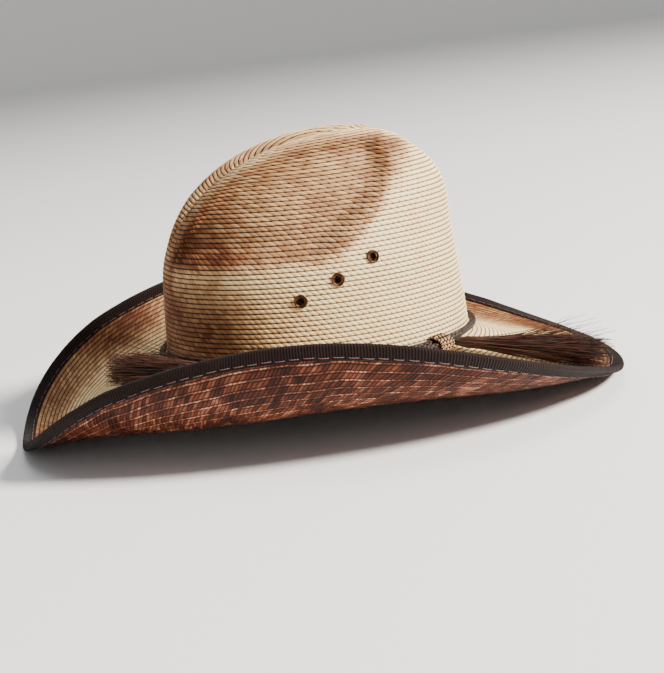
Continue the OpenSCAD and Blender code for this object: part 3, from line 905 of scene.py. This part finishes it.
def build_stitches():
    """Running stitch along both faces of the ribbon: each stitch dips into the cloth at its ends."""
    rng = np.random.default_rng(11)
    stitches, points, sides, radius = 150, 9, 6, 0.26
    s = np.linspace(0, 1, points)
    starts = np.arange(stitches) * 360 / stitches
    stitch_inset = 1.5
    paths = []
    for face in (-1, 1):
        t = starts[:, None] + s[None, :] * 360 / stitches * (0.64 + 0.08 * rng.random((stitches, 1)))
        line = stitch_inset - BINDING_WIDTH + 0.175 * rng.standard_normal((stitches, 1))
        arch = 0.62 * np.sin(np.pi * s) ** 0.5 - 0.3
        proud = RIBBON_FACE + 0.12 + arch[None, :]
        depth = -proud if face < 0 else BRIM_PLY + proud
        paths.append(brim_point(t, brim_width(t) + line, np.broadcast_to(depth, t.shape)))
    paths = np.concatenate(paths)
    verts, quads = tubes(paths, radius, sides, UP)
    uv = tube_uv(quads, len(paths), s, sides)
    add_object("binding_stitches", verts, quads, thread_paint("stitch_thread"), "hat_body",
               ("binding_thread",), uv)


# ---- Band ----


def braid_paths(centre, outward, turns_total):
    """Paths of eight strands braided round a centre line, four each way, passing over and under."""
    w = 2 * np.pi * turns_total * np.linspace(0, 1, len(centre))
    weave = np.cos(4 * w)
    braid_radius, weave_depth = 1.32, 0.26
    paths, refs = [], []
    for way in (1, -1):
        for k in range(4):
            a = way * w + k * np.pi / 2
            radius = braid_radius + way * weave_depth * weave
            radial = outward * np.cos(a)[:, None] + UP * np.sin(a)[:, None]
            paths.append(centre + radial * radius[:, None])
            refs.append(radial)
    return np.array(paths), np.array(refs)


def strand_mesh(paths, refs, radius, sides=7):
    verts, quads = tubes(paths, radius, sides, refs)
    along = np.arange(paths.shape[1]) / 30
    return verts, quads, tube_uv(quads, len(paths), along, sides) + [0.5, 0]


def join(parts):
    """One mesh out of several (vertices, quads, corner coordinates)."""
    verts, quads, uvs, at = [], [], [], 0
    for v, q, uv in parts:
        verts.append(v)
        quads.append(q + at)
        uvs.append(uv)
        at += len(v)
    return np.concatenate(verts), np.concatenate(quads), np.concatenate(uvs)


def oval_line(points, out, z):
    t = np.linspace(0, 360, points)
    return xyz(*oval_point(t, out), z), xyz(sind(t), -cosd(t), 0)


def on_side_arc(turn, p):
    """Places (outward, upward) points on the left side arc, at a turn from straight left."""
    r = SIDE_RADIUS + p[..., 0]
    return xyz(r * cosd(turn) - SIDE_SHIFT, r * sind(turn), p[..., 1])


def strand_end(turn):
    """Point of the outer strand at a turn from straight left."""
    return on_side_arc(turn, np.array([OUTER_STRAND, OUTER_Z]))


def build_band():
    strand_radius, braid_pitches, side_points = 0.82, (40, 8), 180
    loop, out = oval_line(900, INNER_STRAND, INNER_Z)
    parts = [strand_mesh(*braid_paths(loop, out, braid_pitches[0]), strand_radius)]
    reach = SLIDER_TURN / 2 + 0.5
    turn = np.linspace(FRONT_SLIDER - reach, BACK_SLIDER + reach, side_points)
    piece = braid_paths(strand_end(turn), xyz(cosd(turn), sind(turn), 0), braid_pitches[1])
    parts.append(strand_mesh(*piece, strand_radius))
    verts, quads, uv = join(parts)
    add_object("cord_braid", verts, quads,
               hair_paint("cord_hair", (22, 13, 12), (66, 44, 38), 0.42), "hat_band",
               ("band_cord",), uv)


def racetrack(a, margin):
    """Point round both strands at angle a, as (outward, upward), and the direction away from them."""
    inner, outer = np.array([INNER_STRAND, INNER_Z]), np.array([OUTER_STRAND, OUTER_Z])
    lean = math.atan2(outer[1] - inner[1], outer[0] - inner[0])
    r = CORD_D / 2 + margin
    half, ease = np.linalg.norm(outer - inner) / 2, 2.2
    c, s = np.cos(a)[..., None], np.sin(a)[..., None]
    x = half * np.tanh(ease * c) / np.tanh(ease) + r * c
    y = r * np.sign(s) * np.abs(s) ** 0.8
    run = np.array([math.cos(lean), math.sin(lean)])
    across = np.array([-math.sin(lean), math.cos(lean)])
    p = (inner + outer) / 2 + x * run + y * across
    away = c * run + s * across
    # The side against the crown is pressed flat.
    p[..., 0] = np.maximum(p[..., 0], 0.45)
    return p, away


def build_slider(name, node, turn):
    """Woven knot: a dark sleeve under strands that cross over and under, with a cord at each end."""
    proud, weave = 1.25, SLIDER_TURN * 0.94
    rows, sides = 13, 64
    a = np.linspace(0, 2 * np.pi, sides + 1)[:-1]
    sleeve = []
    for x in np.linspace(-0.5, 0.5, rows):
        p, _ = racetrack(a, 0.35 + 0.9 * math.sqrt(max(0, 1 - (2 * x) ** 4)))
        sleeve.append(on_side_arc(turn + x * SLIDER_TURN * 1.02, p))
    quads = ring_quads(rows, sides, True)
    parts = [(np.reshape(sleeve, (-1, 3)), quads, np.full((len(quads), 4, 2), KNOT_SLEEVE + 0.5))]

    def wind(angle, lift, place, radius, number):
        """Strand laid round both cords at those angles, raised by lift and set at those turns."""
        p, away = racetrack(angle, proud)
        p = p + away * lift[:, None]
        p[:, 0] = np.maximum(p[:, 0], 0.9)
        path = on_side_arc(place, p)
        ref = unit(on_side_arc(place, p + away) - path)
        v, q, uv = strand_mesh(path[None], ref[None], radius, 6)
        parts.append((v, q, uv + [number, 0]))

    strands, advance = 11, 2.0
    s = np.linspace(-0.5, 0.5, 90)
    for way in (1, -1):
        for k in range(strands):
            angle = 2 * np.pi * k / strands + way * advance * s
            wind(angle, way * 0.34 * np.cos(strands * advance * s), turn + s * weave, 0.66, 2 * k + (way > 0))
    # A cord of two strands, twisted 17 times, finishes each end.
    ring, twists = np.linspace(0, 2 * np.pi, 140), 17
    for end in (-0.5, 0.5):
        for k in range(2):
            twist = twists * ring + np.pi * k
            wind(ring, 0.42 * np.cos(twist), turn + end * weave + 0.2 * np.sin(twist), 0.5, k)
    verts, quads, uv = join(parts)
    add_object(name, verts, quads, knot_paint(name + "_weave"), node, (node,), uv)


# ---- Tassels ----


def brim_height(x, y):
    """Height of the brim's upper face under points of the worn frame, by matching their distance out."""
    t = np.degrees(np.arctan2(x, -y)) % 360
    for _ in range(12):
        px, py = oval_point(t, 0)
        t = np.degrees(np.arctan2(x - px, -(y - py))) % 360
    px, py = oval_point(t, 0)
    want = np.hypot(x - px, y - py)
    low, high = np.zeros_like(want), brim_width(t) + 2
    for _ in range(16):
        mid = (low + high) / 2
        p = brim_point(t, mid, np.zeros_like(mid))
        short = np.hypot(p[..., 0] - px, p[..., 1] - py) < want
        low, high = np.where(short, mid, low), np.where(short, high, mid)
    return brim_point(t, low, np.zeros_like(low))[..., 2]


def build_tassel(name, node, root, run, length, seed, rise):
    """Bundle of hair from root along run. A few stray hairs rise off it by up to rise."""
    rng = np.random.default_rng(seed)
    hairs, points, sides = 1100, 14, 4
    root_half, fan_out, fan_up, fan_power = 1.7, 12.4, 7.9, 1.05
    stray_share, stray_sway, stray_power = 0.045, 14, 2
    run = unit(run)
    across = unit(np.cross(run, UP))
    up = np.cross(across, run)
    s = np.linspace(0, 1, points)[None, :]
    angle = rng.random((hairs, 1)) * 2 * np.pi
    radius = np.sqrt(rng.random((hairs, 1)))
    a, b = radius * np.cos(angle), radius * np.sin(angle)
    long = length * (0.62 + 0.4 * rng.random((hairs, 1)) ** 0.7)
    wide, thick = root_half + fan_out * s**fan_power, root_half + fan_up * s**fan_power
    # The hair is tied at the root, swells at once and then fans out.
    swell = 1 + 0.35 * np.sin(np.pi * np.clip(s / 0.25, 0, 1))
    wander = np.zeros((hairs, points, 2))
    for k in (1, 2, 3):
        phase = rng.random((hairs, 1, 2)) * 2 * np.pi
        size = rng.standard_normal((hairs, 1, 2)) * 2.4 / k
        wander += size * (s[..., None] ** 1.4) * np.sin(k * 2.1 * s[..., None] + phase)
    stray = (rng.random((hairs, 1)) < stray_share) * s**stray_power
    lift = stray * rise * rng.random((hairs, 1))
    sway = stray * stray_sway * (rng.random((hairs, 1)) - 0.5)
    paths = (root + run * (long * s)[..., None]
             + across * (wide * swell * a + wander[..., 0] + sway)[..., None]
             + up * (thick * swell * b + 0.5 * wander[..., 1] + lift)[..., None])
    # Past its root the hair rests on the brim and never sinks into it.
    x, y, z = np.moveaxis(paths, -1, 0)
    ground = brim_height(x, y) + 0.7 + 0.54 * (b + 1)
    paths[..., 2] = np.where(s > 0.06, np.maximum(z, ground), z)
    taper = (0.23 + 0.07 * rng.random((hairs, 1))) * (1 - 0.65 * s**3)
    verts, quads = tubes(paths, taper, sides, UP)
    parts = [(verts, quads, tube_uv(quads, hairs, s[0], sides) + [0.5, 0])]
    whip_turns, whip_points, whip_radius = 7, 150, 2.3
    w = np.linspace(0, 1, whip_points)
    turn = 2 * np.pi * whip_turns * w
    ring = across * np.cos(turn)[:, None] + up * np.sin(turn)[:, None]
    whip = root + run * (0.6 + 5.4 * w)[:, None] + ring * whip_radius
    parts.append(strand_mesh(whip[None], ring[None], 0.46, 6))
    verts, quads, uv = join(parts)
    material = hair_paint(name + "_hair", (9, 4, 3), (84, 48, 33))
    add_object(name, verts, quads, material, node, (node,), uv)


# ---- Inside ----


def build_sweatband():
    """Leather band inside the crown, from a closed section of (outward, height) points."""
    turns, base, half_wall = 480, -CROWN_WALL - SWEAT_GAP, SWEAT_WALL / 2
    t = np.arange(turns) * 360 / turns
    outer = [(0.0, -0.6), (0.0, 4.0), (-1.5, SWEAT_HEIGHT / 2), (-3.1, SWEAT_HEIGHT - 1.4)]
    roll = [(-3.3 - half_wall + half_wall * math.cos(a), SWEAT_HEIGHT - 1.2 + 0.6 * math.sin(a))
            for a in np.linspace(0.2, math.pi - 0.2, 6)]
    inner = [(-3.1 - SWEAT_WALL, SWEAT_HEIGHT - 1.6), (-2.2 - SWEAT_WALL, SWEAT_HEIGHT * 0.75),
             (-1.5 - SWEAT_WALL, SWEAT_HEIGHT / 2), (-0.6 - SWEAT_WALL, SWEAT_HEIGHT / 4), (-SWEAT_WALL, 2.0)]
    hem = [(-half_wall - half_wall * math.cos(a), -0.3 - 0.9 * math.sin(a))
           for a in np.linspace(0, math.pi, 6)]
    soft = 0.16 * np.sin(np.radians(t) * 9) * np.sin(np.radians(t) * 4 + 1)
    rows = []
    for k, (o, z) in enumerate(outer + roll + inner + hem):
        # The leather waves a little everywhere but at its lower edge.
        rows.append(xyz(*oval_point(t, base + o + soft * (0 < k < 15) - 0.1), z))
    rows.append(rows[0])
    add_object("sweatband_leather", rows, ring_quads(len(rows), turns), leather_paint("sweat_leather"),
               "hat_body", ("sweatband",))


def build_bow():
    """Small ribbon bow: two loops, two tails and a knot."""
    seam_y = HALF_L - CROWN_WALL - SWEAT_GAP - SWEAT_WALL - 3.6
    parts = []

    def strip(x, y, z, half):
        """Ribbon along a line of points, 2 * half wide across z."""
        n = len(x)
        width = np.linspace(-1, 1, 5)
        p = xyz(x[:, None], y[:, None], z[:, None] + width * half[:, None])
        q = ring_quads(n, 5).reshape(n - 1, 5, 4)[:, :4].reshape(-1, 4)
        uv = np.stack([(q // 5) * 0.5, (q % 5) / 4.0], -1)
        return p.reshape(-1, 3), q, uv

    points = 26
    s = np.linspace(0, 1, points)
    for side in (-1, 1):
        x = side * 12.5 * np.sin(np.pi * s) ** 0.8
        y = seam_y - 1.6 * np.sin(2 * np.pi * s) * np.sin(np.pi * s)
        parts.append(strip(x, y, 18 + 0.5 * side * np.sin(np.pi * s), 1.6 + 3.0 * np.sin(np.pi * s) ** 1.5))
        x = side * (1 + 9 * s)
        parts.append(strip(x, seam_y + 0.2 - 0.5 * np.sin(np.pi * s), 17 - 6.5 * s**1.2, 1.2 + 1.6 * s))
    a = np.linspace(0, 2 * np.pi, points)
    knot = np.full(points, 2.3)
    parts.append(strip(knot * np.sin(a), seam_y - 0.4 - 1.5 * np.cos(a), np.full(points, 18.0), knot))
    verts, quads, uv = join(parts)
    obj = add_object("sweatband_bow_ribbon", verts, quads,
                     grosgrain("bow_cloth", (16, 9, 8), (60, 40, 36)), "hat_body",
                     ("sweatband_bow",), uv)
    thick = obj.modifiers.new("thickness", "SOLIDIFY")
    thick.thickness = 0.0003


def build_fibres():
    """Loose ends of leaf that stand off the lower braid."""
    rng = np.random.default_rng(5)
    count, points, sides, side_arc = 260, 7, 4, 170
    t = rng.random((count, 1)) * 360
    l = 12 + rng.random((count, 1)) * 76
    s = np.linspace(0, 1, points)[None, :]
    length = 2.0 + 3.5 * rng.random((count, 1))
    way = rng.random((count, 1)) * 2 * np.pi
    tt = t + np.degrees(length * s * np.cos(way) / side_arc)
    ll = l + length * s * np.sin(way)
    stand = BRIM_PLY + 0.1 + (0.5 + 1.3 * rng.random((count, 1))) * s**1.5
    paths = brim_point(tt, ll, stand)
    radius = 0.2 * (1 - 0.7 * s)
    verts, quads = tubes(paths, radius, sides, UP)
    uv = tube_uv(quads, count, np.zeros(points), sides) + [0.5, 0]
    material = hair_paint("leaf_end", (58, 30, 22), (172, 128, 100), 0.55)
    add_object("leaf_ends", verts, quads, material, "hat_body", (), uv)


# ---- Stage ----


def build_stage():
    """Pale round floor whose rim rises far away, so that no horizon shows."""
    flat, bend, turns, below = 8.0, 4.0, 96, 0.0002
    profile = [(0.02, 0.0), (1.0, 0.0), (flat, 0.0)]
    profile += [(flat + bend * math.sin(a), bend - bend * math.cos(a))
                for a in np.linspace(0.1, math.pi / 2, 14)]
    a = np.arange(turns) * 2 * np.pi / turns
    rings = [xyz(r * np.cos(a), r * np.sin(a), z - below) for r, z in profile]
    mesh = bpy.data.meshes.new("floor")
    faces = ring_quads(len(rings), turns, True).tolist() + [list(range(turns))]
    mesh.from_pydata(np.concatenate(rings).tolist(), [], faces)
    mesh.polygons.foreach_set("use_smooth", np.ones(len(faces), bool))
    floor = put("floor", mesh)
    paint = Paint("studio_floor", 0.9, 0.1)
    mesh.materials.append(paint.finish((244, 243, 241)))


def add_light(name, place, size, power, colour=(1, 1, 1)):
    """Disk light aimed at the middle of the hat."""
    data = bpy.data.lights.new(name, "AREA")
    data.shape, data.size, data.energy, data.color = "DISK", size, power, colour
    light = put(name, data)
    light.location = place
    light.rotation_euler = (Vector((0, 0, 0.08)) - Vector(place)).to_track_quat("-Z", "Y").to_euler()


def build_lights():
    add_light("key", (1.7, 3.1, 2.6), 1.0, 640, (1.0, 0.95, 0.88))
    add_light("fill", (3.6, -2.2, 1.4), 2.4, 14, (0.98, 0.98, 1.0))
    add_light("top", (-0.6, 0.2, 4.2), 3.0, 70)
    world = bpy.data.worlds.new("studio")
    bpy.context.scene.world = world
    world.use_nodes = True
    sky = world.node_tree.nodes["Background"].inputs
    sky["Color"].default_value, sky["Strength"].default_value = (0.93, 0.95, 1.0, 1), 0.3


# Camera round the worn hat: angles in degrees, lengths in millimetres
CAMERA_AZIMUTH, CAMERA_ELEVATION, CAMERA_ROLL = 80.0, 12.92, -5.3
CAMERA_TARGET, CAMERA_DISTANCE, CAMERA_SCALE = (0.0, 9.09, 0.32), 939.6, 1.46
IMAGE_WIDTH, SENSOR = 664, 36.0


def build_camera():
    """Camera set round the worn hat, then turned with it to the rest pose."""
    az, el, roll = (math.radians(a) for a in (CAMERA_AZIMUTH, CAMERA_ELEVATION, CAMERA_ROLL))
    back = np.array([math.sin(az) * math.cos(el), -math.cos(az) * math.cos(el), math.sin(el)])
    place = np.array(CAMERA_TARGET) + CAMERA_DISTANCE * back
    right = unit(np.cross(-back, UP))
    upward = np.cross(right, -back)
    turned_right = right * math.cos(roll) + upward * math.sin(roll)
    turned_up = -right * math.sin(roll) + upward * math.cos(roll)
    axes = np.stack([turned_right, turned_up, back]) @ TILT.T
    m = Matrix(axes.T.tolist()).to_4x4()
    m.translation = Vector(to_row(place))
    data = bpy.data.cameras.new("camera")
    data.sensor_fit, data.sensor_width = "HORIZONTAL", SENSOR
    data.lens = CAMERA_SCALE * CAMERA_DISTANCE * SENSOR / IMAGE_WIDTH
    data.clip_end = 50
    camera = put("camera", data)
    camera.matrix_world = m
    bpy.context.scene.camera = camera


def paint_cad_nodes():
    """Better materials for the CAD pieces that keep their own shape."""
    eyelet = metal_paint("antique_eyelet", (54, 35, 26), (122, 88, 62), 0.34)
    washer = metal_paint("dull_washer", (120, 92, 58), (168, 134, 90), 0.4)
    wire = metal_paint("drawn_wire", (150, 150, 148), (190, 190, 188), 0.3)
    reed = reed_paint("pale_reed")
    for name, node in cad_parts.items():
        paint = {"eyelet": eyelet, "washer": washer}.get(name.split("_")[0])
        paint = {"brim_wire": wire, "sweatband_reed": reed}.get(name, paint)
        if paint:
            node.data.materials.clear()
            node.data.materials.append(paint)


build_camera()
build_lights()
build_stage()
build_crown()
build_brim_top()
build_brim_under()
build_binding()
build_stitches()
build_band()
build_slider("knot_back", "slider_back", BACK_SLIDER)
build_slider("knot_front", "slider_front", FRONT_SLIDER)
build_tassel("hair_back", "tassel_back", strand_end(BACK_SLIDER + SLIDER_TURN / 2 + 1.5),
             np.array([6, 104, -20.0]), BACK_TASSEL, seed=21, rise=22.0)
build_tassel("hair_front", "tassel_front", strand_end(FRONT_SLIDER - SLIDER_TURN / 2 - 1.7),
             np.array([-15, -96, 11.0]), FRONT_TASSEL, seed=22, rise=16.0)
build_sweatband()
build_bow()
build_fibres()
paint_cad_nodes()
